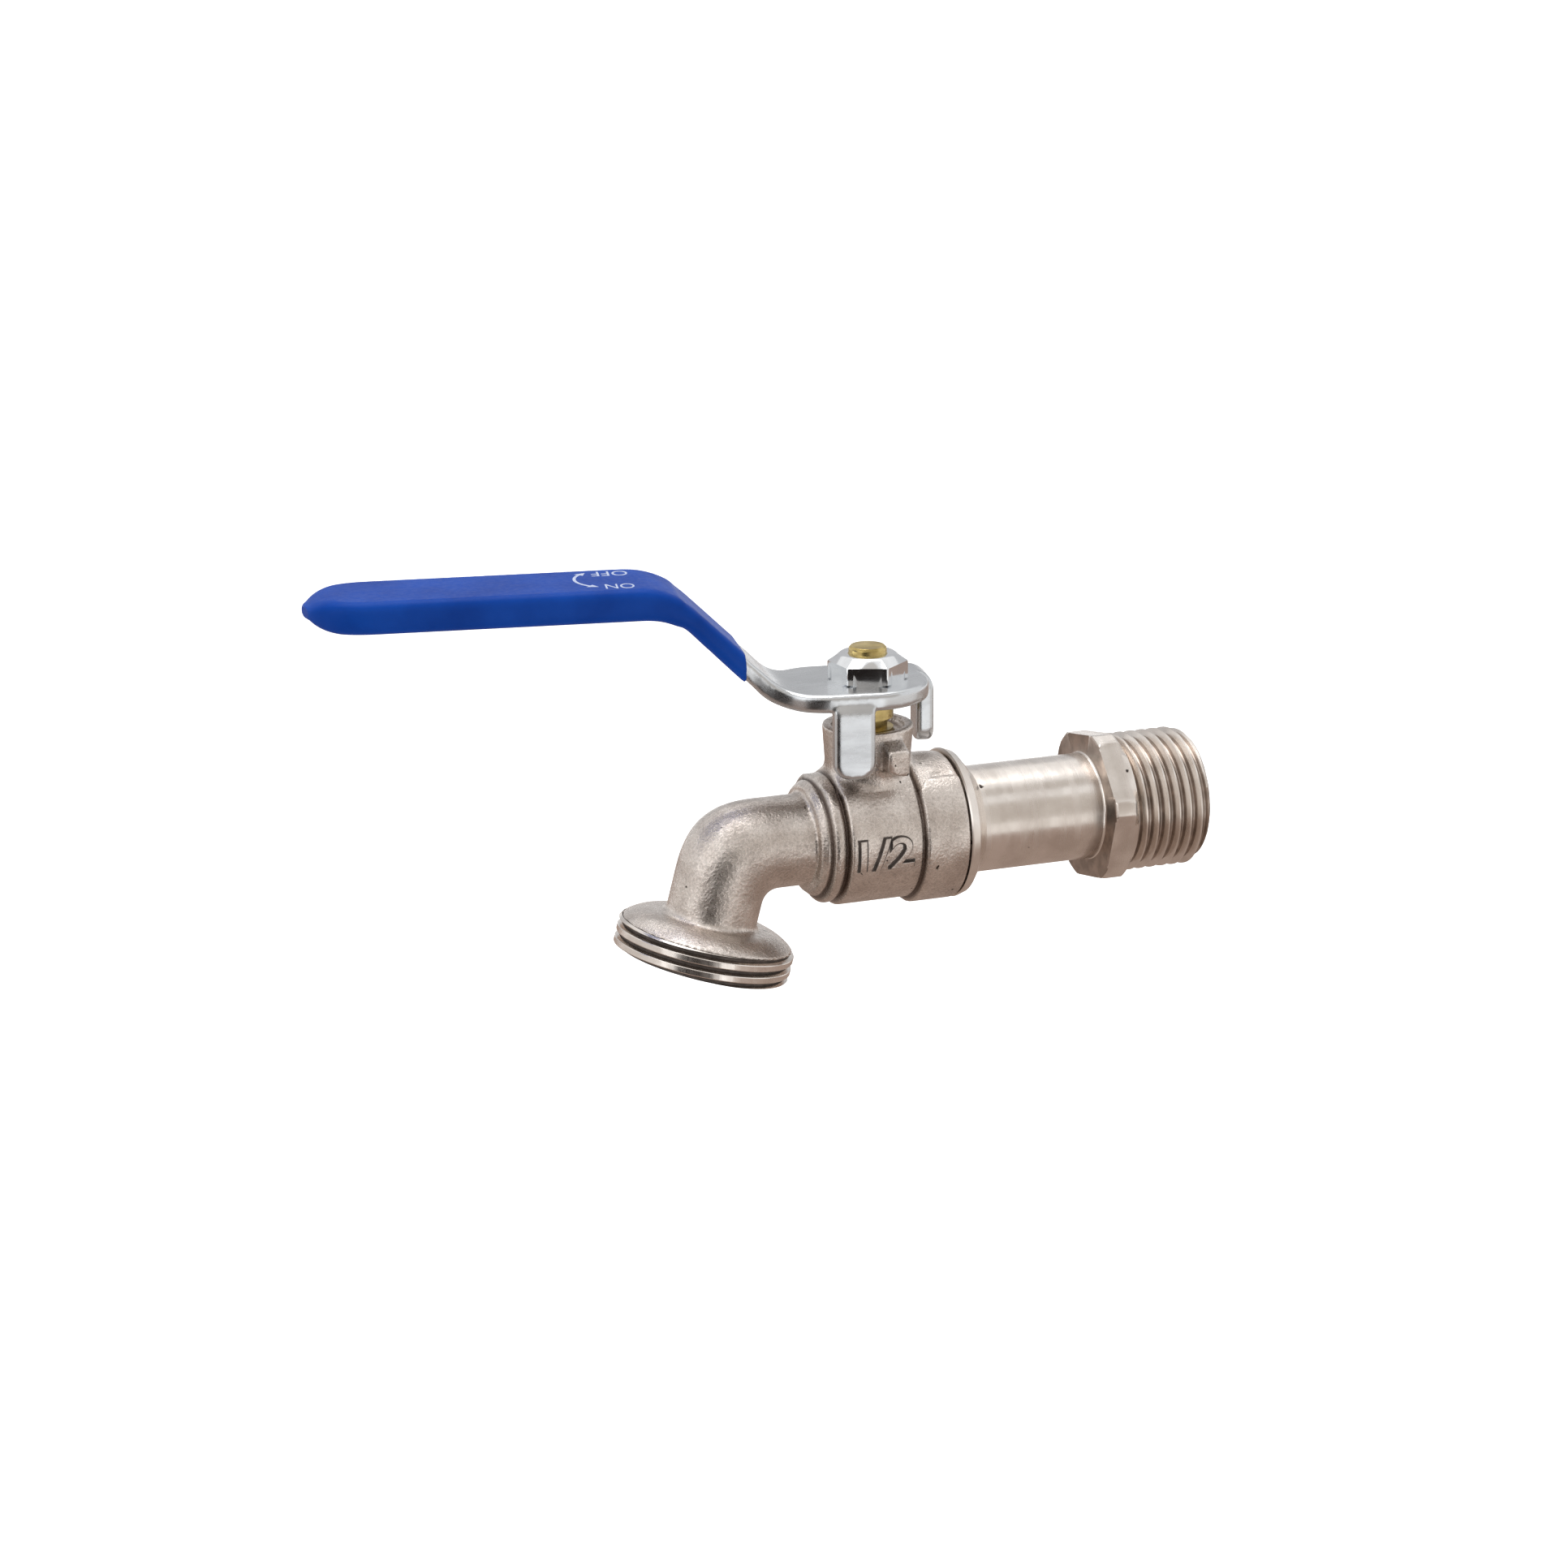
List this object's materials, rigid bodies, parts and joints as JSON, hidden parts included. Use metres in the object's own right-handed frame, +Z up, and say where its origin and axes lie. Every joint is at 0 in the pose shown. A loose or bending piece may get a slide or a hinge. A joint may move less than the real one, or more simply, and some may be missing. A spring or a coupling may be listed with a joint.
{
  "type": "hose bibcock",
  "caption": "Lever operated ball bibcock: elbow spout with a hose thread outlet, ball chamber, tailpiece with hexagon and male pipe thread, and a sleeved lever that turns the ball.",
  "frame": {"origin": "centre of the hexagon's wall side shoulder, on the inlet axis, where the male pipe thread starts", "axes": "+X along the inlet axis into the wall, +Z up along the stem, spout and lever towards -X"},
  "size_m": [0.1326, 0.0337, 0.0605],
  "materials": {
    "nickel_cast": "nickel plated brass, as cast, sandy satin",
    "nickel_turned": "nickel plated brass, turned, satin",
    "plated_steel": "bright zinc plated",
    "blue_vinyl": "dipped, soft gloss",
    "bare_brass": "machined",
    "chromed_ball": "chrome plated, polished",
    "white_ptfe": "smooth",
    "black_rubber": "moulded"
  },
  "bodies": {
    "body": {"body": "nickel_cast", "tailpiece": "nickel_turned", "outlet_seat": "white_ptfe", "inlet_seat": "white_ptfe", "body_seal": "black_rubber", "stem_washer": "white_ptfe"},
    "handle": {"lever": "plated_steel", "lever_sleeve": "blue_vinyl", "lever_nut": "plated_steel", "stem": "bare_brass", "stem_o_ring_lower": "black_rubber", "stem_o_ring_upper": "black_rubber", "ball": "chromed_ball"}
  },
  "joints": [
    {"name": "lever_turn", "type": "hinge", "parent": "body", "child": "handle", "pos_m": [-0.0396, 0, 0], "axis": [0, 0, -1], "range_deg": [-10.5, 79.5]}
  ]
}
